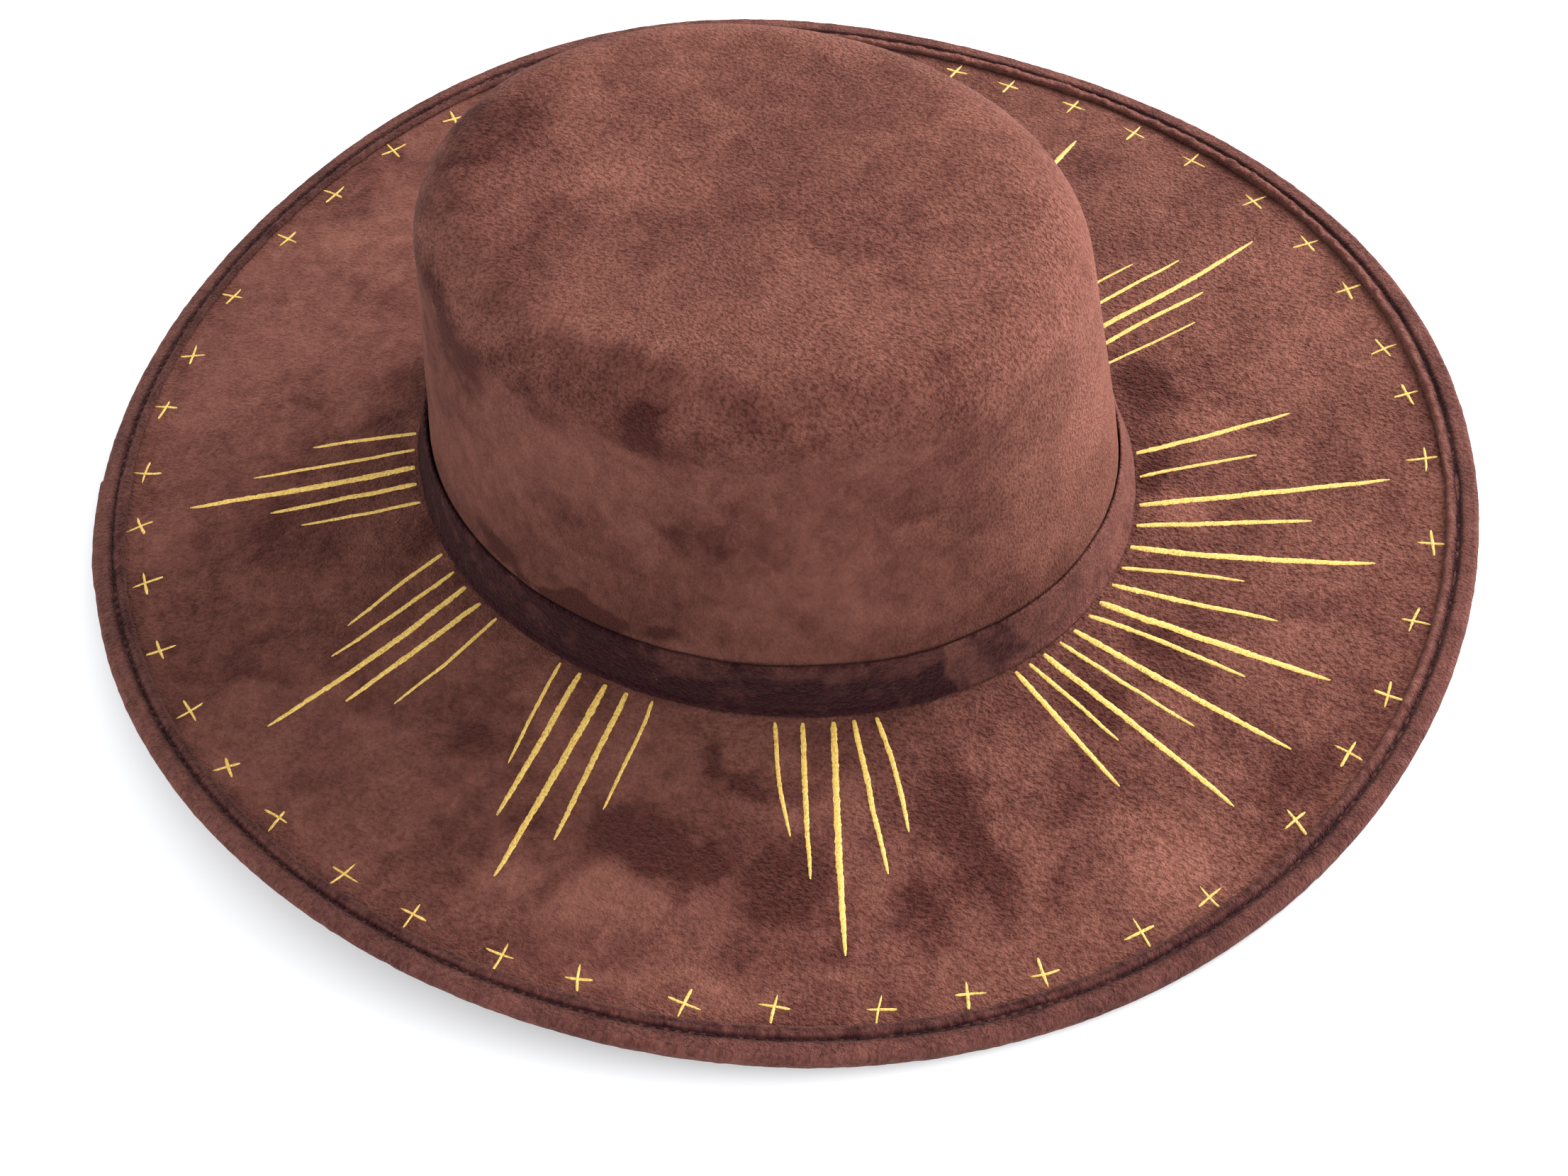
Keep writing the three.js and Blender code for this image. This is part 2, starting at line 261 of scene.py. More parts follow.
def curve_through(points, steps):
    """A smooth line through a list of profile points, without its last point."""
    points = np.asarray(points, float)
    ends = np.concatenate([2 * points[:1] - points[1:2], points, 2 * points[-1:] - points[-2:-1]])
    t = np.linspace(0, 1, steps, endpoint=False)[:, None]
    parts = []
    for a, b, c, d in zip(ends, ends[1:], ends[2:], ends[3:]):
        bend = (2 * a - 5 * b + 4 * c - d) * t**2 + (3 * b - a - 3 * c + d) * t**3
        parts.append(b + ((c - a) * t + bend) / 2)
    return np.concatenate(parts)


def joined(*stretches):
    """Rows of (offset, height, relief weight), from stretches of points that have one weight each."""
    rows = [np.column_stack([points, np.full(len(points), float(weight))]) for points, weight in stretches]
    return np.concatenate(rows)


def swept(name, profile, around, relief, grain=None, nap=None):
    """A closed shell: a joined() profile taken round the hat.

    relief(points, bearing, profile) is a displacement along the normal, grain(points, profile) gives the
    cloth's own flat coordinates, and nap(points, profile) gives how light the nap lies and how far its
    tufts show, 0 to 1."""
    bearing = np.linspace(0, 2 * np.pi, around, endpoint=False)[None, :]
    points = place(bearing, profile[:, :1], profile[:, 1:2])
    amount = relief(points, bearing, profile) * profile[:, 2:3]
    points = points + grid_normals(points) * amount[..., None]
    attributes = {}
    if grain is not None:
        attributes["grain"] = grain(points, profile).reshape(-1, 3)
    if nap is not None:
        light, tufts = nap(points, profile)
        attributes["nap"] = light.ravel()
        attributes["tufts"] = np.clip(tufts, 0, 1).ravel()
    faces = grid_faces(len(profile), around)
    return mesh_piece(name, points, faces, attributes, merge=True)


# -------- shader helpers


class Shader:
    """One material's node tree, with short calls for the nodes that this script uses."""

    def __init__(self, name, **surface):
        self.material = bpy.data.materials.new(name)
        self.material.use_nodes = True
        self.tree = self.material.node_tree
        self.surface = self.tree.nodes["Principled BSDF"]
        for socket, value in surface.items():
            self.surface.inputs[socket.replace("_", " ")].default_value = value

    def put(self, kind, inputs=None, **settings):
        node = self.tree.nodes.new(kind)
        for key, value in settings.items():
            setattr(node, key, value)
        for socket, value in (inputs or {}).items():
            if isinstance(value, bpy.types.NodeSocket):
                self.tree.links.new(value, node.inputs[socket])
            else:
                node.inputs[socket].default_value = value
        return node

    def attribute(self, name, output="Fac"):
        return self.put("ShaderNodeAttribute", attribute_name=name).outputs[output]

    def position(self):
        """Object coordinates in millimetres."""
        place_mm = self.put("ShaderNodeTexCoord").outputs["Object"]
        return self.stretch(place_mm, (1 / MM,) * 3)

    def stretch(self, vector, scale, turn=0.0):
        inputs = {"Vector": vector, "Scale": scale, "Rotation": (0, 0, math.radians(turn))}
        return self.put("ShaderNodeMapping", inputs).outputs["Vector"]

    def noise(self, vector, size, detail=3.0, rough=0.55, warp=0.0):
        inputs = {"Vector": vector, "Scale": 1 / size, "Detail": detail}
        inputs |= {"Roughness": rough, "Distortion": warp}
        return self.put("ShaderNodeTexNoise", inputs).outputs["Fac"]

    def ramp(self, factor, *stops):
        """Stops are (position, value) or (position, colour) pairs."""
        node = self.put("ShaderNodeValToRGB", {"Fac": factor})
        elements = node.color_ramp.elements
        while len(elements) < len(stops):
            elements.new(0.5)
        for element, (at, value) in zip(elements, stops):
            element.position = at
            element.color = (*value, 1) if isinstance(value, tuple) else (value, value, value, 1)
        return node.outputs["Color"]

    def math(self, operation, a, b=0.0):
        node = self.put("ShaderNodeMath", operation=operation)
        for socket, value in zip(node.inputs, (a, b)):
            if isinstance(value, bpy.types.NodeSocket):
                self.tree.links.new(value, socket)
            else:
                socket.default_value = value
        return node.outputs["Value"]

    def mix(self, factor, a, b, blend="MIX"):
        node = self.put("ShaderNodeMix", data_type="RGBA", blend_type=blend)
        for index, value in ((0, factor), (6, a), (7, b)):
            if isinstance(value, bpy.types.NodeSocket):
                self.tree.links.new(value, node.inputs[index])
            else:
                node.inputs[index].default_value = value if index == 0 else (*value, 1)
        return node.outputs[2]

    def colour(self, socket):
        self.tree.links.new(socket, self.surface.inputs["Base Color"])

    def bump(self, height, strength, distance):
        inputs = {"Height": height, "Strength": strength, "Distance": distance * MM}
        node = self.put("ShaderNodeBump", inputs)
        self.tree.links.new(node.outputs["Normal"], self.surface.inputs["Normal"])
        return node


def wear(piece, shader):
    piece.data.materials.clear()
    piece.data.materials.append(shader.material)
    return piece


# -------- materials


def suede(name, dark, light, stretch=(1.35, 1.0), size=1.5, sheen=0.1):
    """Short brushed nap: tufts with dark gaps between them, partly the nap's own tone and partly painted
    shade, over patches that lie lighter or darker.
    """
    shader = Shader(name, Roughness=0.95, Specular_IOR_Level=0.06, Sheen_Weight=sheen, Sheen_Roughness=0.4)
    shader.surface.inputs["Sheen Tint"].default_value = (0.95, 0.6, 0.48, 1)
    cloth = shader.attribute("grain", "Vector")
    nap = shader.attribute("nap")
    rough = shader.attribute("tufts")
    tufts = shader.noise(shader.stretch(cloth, (*stretch, 1)), size, 2, 0.5, 0.4)
    fibres = shader.noise(shader.stretch(cloth, (*stretch, 1), 12), size * 0.4, 2, 0.6, 0.3)
    blotch = shader.noise(cloth, 6.0, 4, 0.7, 0.8)
    lie = shader.math("ADD", nap, shader.math("MULTIPLY", shader.math("SUBTRACT", blotch, 0.5), 0.7))
    base = shader.mix(shader.ramp(lie, (0.1, 0.0), (0.9, 1.0)), dark, light)
    # The darkening between tufts is partly the nap's own darker tone and partly painted shade.
    painted_gap_shade = shader.ramp(tufts, (0.34, (0.56, 0.44, 0.42)), (0.56, (1.04, 1.04, 1.04)))
    strands = shader.ramp(fibres, (0.34, 0.7), (0.62, 1.0))
    shaded = shader.mix(rough, base, painted_gap_shade, "MULTIPLY")
    shaded = shader.mix(0.75, shaded, strands, "MULTIPLY")
    specks = shader.put("ShaderNodeTexVoronoi", {"Vector": cloth, "Scale": 1 / 15}).outputs["Distance"]
    shader.colour(shader.mix(shader.ramp(specks, (0.006, 1.0), (0.012, 0.0)), shaded, (0.55, 0.42, 0.34)))
    height = shader.math("ADD", shader.math("MULTIPLY", tufts, rough), shader.math("MULTIPLY", fibres, 0.35))
    shader.bump(height, 1.0, 2.8)
    return shader


def gold_paint():
    """Matt gold paint that has caught on the nap and breaks up where the brush ran dry."""
    shader = Shader("gold_paint", Roughness=0.55, Specular_IOR_Level=0.35)
    cloth = shader.attribute("grain", "Vector")
    dry = shader.attribute("dry")
    tooth = shader.noise(shader.stretch(cloth, (1, 1.6, 1)), 0.7, 2, 0.6, 0.5)
    tones = (0.3, (0.3, 0.15, 0.03)), (0.43, (0.5, 0.31, 0.055)), (0.65, (0.64, 0.46, 0.13))
    tone = shader.ramp(tooth, *tones)
    worn = shader.math("SUBTRACT", shader.math("ADD", dry, tooth), 0.98)
    bare = shader.ramp(worn, (0.0, 0.0), (0.12, 1.0))
    shader.colour(shader.mix(bare, tone, (0.12, 0.045, 0.035)))
    shader.bump(tooth, 0.7, 0.3)
    return shader


def plain_cloth(name, dark, light, size, stretch, roughness=0.9):
    """Woven cloth: fine threads of two tones."""
    shader = Shader(name, Roughness=roughness, Specular_IOR_Level=0.25, Sheen_Weight=0.15)
    threads = shader.noise(shader.stretch(shader.position(), stretch), size, 2, 0.6, 0.2)
    shader.colour(shader.ramp(threads, (0.35, dark), (0.65, light)))
    shader.bump(threads, 0.5, 0.15)
    return shader


DARK = (0.062, 0.0155, 0.0128)
LIGHT = (0.246, 0.096, 0.071)
TRIM_DARK = (0.025, 0.005, 0.008)
TRIM_LIGHT = (0.178, 0.067, 0.053)


# -------- how the nap is brushed


def brushed_mark(bearing, start, aside, length, width, turn, change):
    """A patch centred at start, whose length lies round the hat and is turned towards aside by turn degrees.

    start and aside are offsets and heights. The length and width are half sizes, and change is how much
    lighter the nap lies there."""
    at = math.radians(bearing)
    centre = place(at, *start)
    across = unit(place(at, *aside) - centre)
    around = unit(place(at + 0.01, *start) - centre)
    along = around * math.cos(math.radians(turn)) + across * math.sin(math.radians(turn))
    return centre, along, length, width, change


def brim_mark(bearing, offset, length, width, turn, change):
    """A brushed patch on the brim, turned outwards."""
    return brushed_mark(bearing, (offset, 0), (offset + 1, 0), length, width, turn, change)


def wall_mark(bearing, height, length, width, turn, change):
    """A brushed patch on the crown's wall, turned upwards."""
    offset = wall_offset(height)
    return brushed_mark(bearing, (offset, height), (offset, height + 1), length, width, turn, change)


def top_mark(x, y, length, width, turn, change):
    """A brushed patch on the flat top. Its length lies along Y, turned towards +X by turn degrees."""
    along = np.array([math.sin(math.radians(turn)), math.cos(math.radians(turn)), 0])
    return np.array([x, y, SEAM + CROWN_HEIGHT]), along, length, width, change


def brushed(points, marks, seed):
    """How much lighter brushed patches leave the nap; a few of the patches are painted light and painted
    shade. Their edges are ragged and fairly sharp.
    """
    wide = np.stack([soft_noise(points, 17, seed + n) for n in range(3)], -1)
    ragged = np.stack([soft_noise(points, 5, seed + 3 + n) for n in range(3)], -1)
    warped = points + wide * 8 + ragged * 2.5
    total = np.zeros(points.shape[:-1])
    for centre, along, length, width, change in marks:
        away = warped - centre
        lengthwise = away @ along
        sideways = np.sqrt(np.maximum((away**2).sum(-1) - lengthwise**2, 0))
        distance = np.hypot(lengthwise / length, sideways / width)
        total += change * 0.72 * (1 - smooth_step(distance, 0.5, 1.4))
    cloudy = soft_noise(warped, 23, seed + 6) + 0.6 * soft_noise(warped, 11, seed + 7)
    clouds = smooth_step(cloudy, 0.05, 0.3) - smooth_step(-cloudy, 0.05, 0.3)
    return total + clouds * 0.09 + soft_noise(points, 4, seed + 8) * 0.08


# -------- cloth relief


def cloth_relief(points, slack, tufts, seed):
    """The unevenness of glued cloth, with the nap's larger tufts on top."""
    wide = soft_noise(points, 42, seed) * slack
    near = soft_noise(points, 13, seed + 1) * slack * 0.3
    nap = soft_noise(points, 2.6, seed + 2) * tufts + soft_noise(points, 1.3, seed + 3) * tufts * 0.6
    return wide + near + nap


def flat_grain(points, profile):
    return points


# -------- crown


def shoulder_line(depth, start, end, steps):
    """Profile points round the shoulder between two angles from level."""
    radius = CROWN_EDGE_RADIUS - depth
    angle = np.linspace(start, end, steps)
    return np.stack([FLAT_TOP_OFFSET + radius * np.cos(angle), SHOULDER_HEIGHT + radius * np.sin(angle)], 1)


def top_line(depth, steps):
    """Profile points from just inside the shoulder to the middle of the flat top."""
    middle = (-HEAD_RADIUS, CROWN_HEIGHT - depth)
    return np.concatenate([line_points((FLAT_TOP_OFFSET, CROWN_HEIGHT - depth), middle, steps)[1:], [middle]])


def crown_line(depth, wall_steps, shoulder_steps, top_steps):
    """Profile points from the wall's foot to the middle of the flat top."""
    shoulder = shoulder_line(depth, WALL_LEAN, math.pi / 2, shoulder_steps)
    wall = line_points((wall_offset(CROWN_BOTTOM, depth), CROWN_BOTTOM), shoulder[0], wall_steps)
    return np.concatenate([wall, shoulder, top_line(depth, top_steps)])


def crown_grain(points, profile):
    """The cloth laid flat: distance from the middle of the top, over the shoulder and down the wall."""
    steps = np.hypot(*np.diff(profile[:, :2], axis=0).T)
    travelled = np.concatenate([[0], np.cumsum(steps)])
    middle = np.argmin(profile[:, 0])
    distance = np.abs(travelled - travelled[middle])[:, None]
    radius = np.maximum(np.hypot(points[..., 0], points[..., 1]), 1e-6)
    flat_x, flat_y = (points[..., axis] / radius * distance for axis in (0, 1))
    return np.stack([flat_x, flat_y, 0 * radius], -1)


# Each row holds what wall_mark or top_mark takes, in its order.
WALL_PATCHES = (
    (-132, 92, 24, 6, -4, -0.4),
    (-112, 93, 20, 5, -8, -0.42),
    (-88, 97, 9, 7, 0, -0.55),
    (-128, 84, 12, 7, 0, -0.3),
    (-70, 93, 26, 5, 0, -0.2),
    (-82, 64, 13, 8, 10, -0.25),
    (-100, 60, 9, 5, 30, -0.15),
    # These two dark patches just above the band are painted shade where the wall meets the band.
    (-99, 18.5, 22, 4.5, 0, -0.9),
    (-117, 20, 14, 4, 0, -0.6),
    (-100, 78, 9, 7, 0, 0.12),
    (-122, 60, 16, 14, 60, 0.1),
    (-62, 78, 22, 9, 0, -0.1),
    (-45, 42, 18, 14, 30, 0.08),
    # These two wide lighter patches on the right of the wall are partly nap and partly painted light from the
    # right.
    (-12, 60, 26, 40, 0, 0.3),
    (20, 55, 30, 40, 0, 0.25),
)
TOP_PATCHES = (
    (-5, 75, 12, 28, 0, -0.35),
    (-38, 58, 20, 10, 10, -0.2),
    (18, 28, 24, 12, 20, -0.16),
    (-8, 44, 20, 9, -10, 0.16),
    (-22, -12, 26, 12, 0, 0.14),
    (-30, -48, 18, 10, 0, 0.12),
    (38, -20, 34, 12, 0, -0.1),
    (-60, -66, 14, 7, 20, -0.35),
    (20, -55, 14, 16, 0, -0.12),
    (-52, 12, 26, 7, 0, 0.1),
)
CROWN_MARKS = [wall_mark(*patch) for patch in WALL_PATCHES] + [top_mark(*patch) for patch in TOP_PATCHES]


def crown_nap(points, profile):
    """Smooth on the front left of the wall, rougher on the top and the right. The right of the wall is
    painted lighter, partly the nap's own lie and partly painted light from the right, and the top is painted
    lighter towards +X as painted light.
    """
    height = points[..., 2] - SEAM
    turn = degrees_from_front(points)
    on_top = smooth_step(height, SHOULDER_HEIGHT - 2, SHOULDER_HEIGHT + 10)
    front_right = along_arc(turn, -60, -20, 80, 160)
    shoulder = np.exp(-(((height - SHOULDER_HEIGHT - 8) / 9) ** 2)) * (1 - front_right)
    # right marks the wall's right side, which is painted lighter: partly nap, partly painted light from the
    # right.
    right = along_arc(turn, -15, 45, 60, 150) * (1 - on_top)
    smooth_wall = (1 - on_top) * (1 - front_right)
    light = 0.5 - 0.06 * shoulder + 0.5 * right - 0.08 * smooth_wall + brushed(points, CROWN_MARKS, 111)
    # The top is painted lighter towards +X: painted light from the right.
    light += 0.12 * on_top * smooth_step(points[..., 0], -20, 60)
    tufts = 0.38 + 0.52 * on_top + 0.52 * (1 - on_top) * front_right + soft_noise(points, 18, 116) * 0.15
    return light, tufts - 0.3 * (light - 0.5)


def crown_cover():
    profile = joined((crown_line(0, 84, 30, 34), 1), (crown_line(COVER_THICKNESS, 12, 8, 4)[::-1], 0))
    relief = lambda points, bearing, profile: cloth_relief(points, 0.5, 0.05, 11)
    piece = swept("crown_suede", profile, 560, relief, crown_grain, crown_nap)
    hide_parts("crown_cover")
    return wear(piece, suede("suede_crown", DARK, LIGHT, (1.3, 1.0), 1.3, 0.05))


# -------- brim


def brim_relief(points):
    return cloth_relief(points, 0.3, 0.05, 31)


def brim_line(height, steps):
    """Profile points from the crown outwards."""
    return np.column_stack([np.linspace(BRIM_START, BRIM_END, steps), np.full(steps, float(height))])


# Each row holds what brim_mark takes, in its order.
BRIM_PATCHES = (
    (-144, 44, 15, 17, 0, -0.3),
    (-128, 70, 12, 12, 0, -0.2),
    (-156, 76, 14, 10, 0, 0.15),
    (-104, 36, 11, 10, 0, -0.25),
    (-115, 68, 16, 10, 20, -0.15),
    (-96, 20, 30, 11, 0, 0.1),
    (-82, 70, 10, 11, 0, 0.4),
    (-91, 67, 9, 7, 30, 0.2),
    (-83, 42, 13, 8, 0, -0.3),
    (-94, 48, 12, 10, 0, -0.25),
    (-78, 52, 20, 8, 0, -0.4),
    (-66, 58, 12, 12, 0, -0.35),
    (-74, 21, 13, 5, 35, -0.45),
    (-68, 38, 9, 7, 0, 0.2),
    (-49, 40, 13, 13, 0, -0.35),
    (-72, 91, 40, 4, 0, 0.2),
    (-104, 88, 30, 5, 0, 0.15),
    (-70, 78, 6, 8, 0, -0.25),
    (-61, 80, 5, 7, 0, -0.3),
    (-54, 68, 9, 12, 0, -0.45),
    (-47, 62, 7, 15, 0, -0.35),
    (-41, 70, 7, 12, 20, -0.12),
    (-36, 46, 12, 8, 0, -0.35),
    (-30, 74, 14, 14, -40, 0.4),
    (-34, 90, 20, 5, 0, 0.2),
    (-41, 26, 9, 6, 0, 0.15),
    (-25, 30, 9, 12, 0, -0.35),
    (-20, 64, 8, 7, 0, 0.25),
    (-17, 82, 18, 8, 0, -0.3),
    (-12, 34, 14, 12, 0, -0.25),
    (-4, 60, 6, 6, 0, 0.2),
    (4, 28, 12, 13, 0, -0.25),
    (20, 12, 8, 5, 0, -0.5),
    (26, 32, 12, 12, 0, 0.4),
    (35, 18, 10, 9, 0, -0.5),
    (10, 20, 7, 9, 0, 0.4),
    (-10, 22, 9, 9, 0, -0.3),
    (44, 48, 13, 13, 0, -0.1),
    (42, 70, 44, 26, 0, 0.18),
    (52, 70, 14, 9, 0, 0.2),
    (33, 58, 11, 13, 0, 0.12),
    (72, 60, 20, 14, 0, -0.12),
    (95, 66, 22, 12, 0, 0.15),
    (165, 60, 22, 18, 0, 0.18),
    (120, 40, 22, 16, 0, -0.15),
    (140, 76, 20, 10, 0, 0.15),
)
BRIM_MARKS = [brim_mark(*patch) for patch in BRIM_PATCHES]


def brim_nap(points, profile):
    """Tufts show most on the front right of the brim and where the nap lies dark. The brim is darker next to
    the band as painted shade, and a little lighter on the right, partly nap and partly painted light.
    """
    turn = degrees_from_front(points)
    right = along_arc(turn, -110, -20, 40, 130)
    painted_shade_by_band = np.exp(-(((profile[:, :1] - 6) / 14) ** 2))
    # The brim is darker next to the band as painted shade, and lighter on the right partly as painted light.
    light = 0.37 + 0.1 * right - 0.08 * painted_shade_by_band + brushed(points, BRIM_MARKS, 131)
    tufts = 0.5 + 0.5 * right + soft_noise(points, 16, 136) * 0.2 - 0.6 * (light - 0.42)
    return light, tufts


def brim_upper():
    profile = joined((brim_line(-BRIM_COVER_THICKNESS, 16), 0), (brim_line(0, 86)[::-1], 1))
    relief = lambda points, bearing, profile: brim_relief(points)
    piece = swept("brim_suede_top", profile, 900, relief, flat_grain, brim_nap)
    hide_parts("brim_upper_cover")
    return wear(piece, suede("suede_brim", DARK, LIGHT))


def under_nap(points, profile):
    light = 0.4 + brushed(points, [], 151)
    return light, 0.6 - 0.5 * (light - 0.4)


def brim_under():
    top = BRIM_UNDERSIDE + BRIM_UNDER_THICKNESS
    profile = joined((brim_line(BRIM_UNDERSIDE, 60), 1), (brim_line(top, 16)[::-1], 0))
    relief = lambda points, bearing, profile: cloth_relief(points, 0.2, 0.05, 51)
    piece = swept("brim_suede_under", profile, 600, relief, flat_grain, under_nap)
    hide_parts("brim_under_cover")
    return wear(piece, suede("suede_under", DARK, LIGHT))


# -------- hat band


BAND_OUTSIDE = [
    (4.5, 0.1),
    (5.6, 0.1),
    (6.2, 0.8),
    (5.9, 1.9),
    (5.2, 2.7),
    (4.9, 3.6),
    (4.3, 6),
    (3.5, 9),
    (2.8, 12),
    (2.2, 14.6),
    (1.8, 16.3),
    (1.3, 17),
    (0.7, 16.9),
    (0.4, 16.3),
]
BAND_INSIDE = [(0.9, 12), (1.9, 5), (2.6, 0.5)]
BAND_JOIN = 180


def overlap(bearing, join, length, fade):
    """1 just past a join, falling to 0 over the length of a strip's overlapping end, in degrees."""
    past = (np.degrees(bearing) - join + 180) % 360 - 180
    return smooth_step(past, 0, fade) * (1 - smooth_step(past, length * 0.7, length))


def band_grain(points, profile):
    """Along the band and up it, as the strip lies flat."""
    from_middle = np.hypot(points[..., 0], points[..., 1])
    return np.stack([bearing_of(points) * HEAD_RADIUS, points[..., 2], from_middle], -1)


def band_nap(points, profile):
    """Brushed dark across the front left, with a lighter stretch and a dark patch to its right, and lighter
    on the right side, partly as painted light.
    """
    turn = degrees_from_front(points)
    height = points[..., 2] - SEAM
    ragged = soft_noise(points, 9, 71) * 2.5
    lean = (height - 8) * 0.35
    light = along_arc(turn + ragged * 0.5, -43, -41, 120, 175)
    upper_edge = smooth_step(height + ragged, 11.5, 13.5) * along_arc(turn + ragged, -100, -70, 120, 175)
    light = np.maximum(light, 0.35 * upper_edge)
    patch = smooth_step(turn + lean + ragged * 0.6, -36, -33.5)
    patch *= (1 - smooth_step(turn + ragged + lean, -30, -27)) * smooth_step(height + ragged, 2, 5)
    # The last term lightens the band's right side: partly nap, partly painted light from the right.
    value = 0.1 + 0.5 * light - 0.28 * patch + 0.25 * along_arc(turn, -25, 25, 60, 150)
    value += soft_noise(points, 14, 72) * 0.12 + soft_noise(points, 4, 73) * 0.14
    value -= 0.08 * (1 - smooth_step(height, 3, 8))
    return value, 0.85 - 0.4 * value


def hat_band():
    def relief(points, bearing, profile):
        creases = soft_noise(points * (0.12, 0.12, 0.7), 1, 65) * 0.2
        wave = soft_noise(points, 24, 61) * 0.35 + creases
        return cloth_relief(points, 0.12, 0.05, 62) + wave + 0.7 * overlap(bearing, BAND_JOIN, 9, 0.5)

    profile = joined((curve_through(BAND_OUTSIDE, 4), 1), (BAND_INSIDE, 0))
    piece = swept("hat_band_strip", profile, 620, relief, band_grain, band_nap)
    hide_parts("hat_band")
    return wear(piece, suede("suede_band", TRIM_DARK, TRIM_LIGHT, (1.2, 1.5), sheen=0.05))


# -------- binding


BINDING_TOP_LINE = [
    (BINDING_START + 7.25, BINDING_TOP + 0.05),
    (BINDING_START + 5.6, BINDING_TOP + 0.25),
    (BINDING_START + 4.5, BINDING_TOP + 0.15),
    (STITCH_OFFSET + 0.4, BINDING_TOP - 0.45),
    (STITCH_OFFSET - 0.2, BINDING_TOP - 0.5),
    (BINDING_START + 2.5, BINDING_TOP + 0.2),
    (BINDING_START + 1.5, BINDING_TOP + 0.65),
    (BINDING_START + 0.5, BINDING_TOP + 0.6),
    (BINDING_START - 0.15, BINDING_TOP - 0.1),
    (BINDING_START + 0.1, BINDING_TOP - 0.85),
]


def nose_arc(radius, angle):
    """Profile points round the binding's outer edge."""
    return np.stack([NOSE_OFFSET + radius * np.cos(angle), BINDING_MIDDLE + radius * np.sin(angle)], 1)


def binding_profile():
    """Round the outside from the lower fold over the nose to the upper fold, and back along the inside."""
    upper = curve_through(BINDING_TOP_LINE, 4)
    lower = np.column_stack([upper[:, 0], 2 * BINDING_MIDDLE - upper[:, 1]])[::-1]
    nose = nose_arc(NOSE_RADIUS + 0.1, np.linspace(-math.pi / 2, math.pi / 2, 18)[1:-1])
    inside = nose_arc(NOSE_RADIUS - BINDING_THICKNESS, np.linspace(math.pi / 2, -math.pi / 2, 7))
    return joined((np.concatenate([lower, nose, upper]), 1), (inside, 0))


def binding_relief(points, bearing, profile):
    across = profile[:, :1]
    groove = np.exp(-(((across - STITCH_OFFSET) / 0.7) ** 2))
    ridge = np.exp(-(((across - BINDING_START - 1.2) / 1.2) ** 2))
    hole = (0.5 + 0.5 * np.cos(bearing * STITCH_COUNT)) ** 2
    right = along_arc(degrees_from_front(points), -60, 0, 90, 170)
    uneven = soft_noise(points, 7, 81) * 0.3 + soft_noise(points, 60, 82) * 0.3 + 0.55 * right - 0.1
    uneven += soft_noise(points, 2.2, 87) * 0.6 + soft_noise(points, 1.2, 88) * 0.3
    amount = ridge * uneven - 0.25 * groove * hole * (1 - 0.7 * right)
    above = np.where(profile[:, 1:2] > BINDING_MIDDLE, 1.0, 0.35)
    join = 0.55 * overlap(bearing, BINDING_JOIN, 14, 0.35)
    return above * amount + cloth_relief(points, 0.12, 0.11, 83) + join


def binding_grain(points, profile):
    bearing = bearing_of(points)
    across = profile[:, :1] + profile[:, 1:2] + 0 * bearing
    return np.stack([bearing * (HEAD_RADIUS + NOSE_OFFSET), across, points[..., 2]], -1)


def binding_nap(points, profile):
    """Lightest on the fold's crest as a painted highlight on the right, with painted shade on the crest to
    the left and in the stitched groove, and lighter towards the front and right, partly as painted light.
    """
    turn = degrees_from_front(points)
    across = profile[:, :1] - BINDING_START
    groove = np.exp(-(((across - STITCH_OFFSET + BINDING_START) / 1.1) ** 2))
    painted_light_crest = np.exp(-(((across - 1.0) / 0.9) ** 2))
    right = along_arc(turn, -45, 20, 90, 170)
    # The groove's darkening is painted shade, and the lighter right is partly painted light.
    value = 0.54 + 0.04 * right - (0.45 + 0.05 * right) * groove
    # On the crest: a painted highlight on the right and painted shade on the left.
    value += painted_light_crest * (0.35 * right - 0.22 * (1 - right))
    value += soft_noise(points, 12, 84) * 0.12 + soft_noise(points, 4, 85) * 0.1
    return value, 0.95 - 0.5 * value


def brim_binding():
    piece = swept("brim_edge_binding", binding_profile(), 1900, binding_relief, binding_grain, binding_nap)
    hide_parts("brim_binding")
    return wear(piece, suede("suede_binding", TRIM_DARK, TRIM_LIGHT, (1.4, 1.4)))


def capsules(name, centres, along, up, length, width, height):
    """Small rounded dashes, one for each centre."""
    rings, sides = 5, 6
    t = np.linspace(-1, 1, rings)
    angle = np.linspace(0, 2 * np.pi, sides, endpoint=False)
    side = np.cross(up, along)
    fat = np.sqrt(np.clip(1.08 - t**2, 0, 1))
    ring = (
        centres[:, None, None]
        + along[:, None, None] * (t * length / 2)[None, :, None, None]
        + side[:, None, None] * (fat[:, None] * np.cos(angle) * width / 2)[None, ..., None]
        + up[:, None, None] * (fat[:, None] * np.sin(angle) * height / 2)[None, ..., None]
    )
    faces = []
    for start in range(0, len(centres) * rings * sides, rings * sides):
        faces += grid_faces(rings, sides, wrap_rows=False, start=start)
        faces.append(list(range(start + sides - 1, start - 1, -1)))
        faces.append(list(range(start + (rings - 1) * sides, start + rings * sides)))
    return mesh_piece(name, ring, faces)


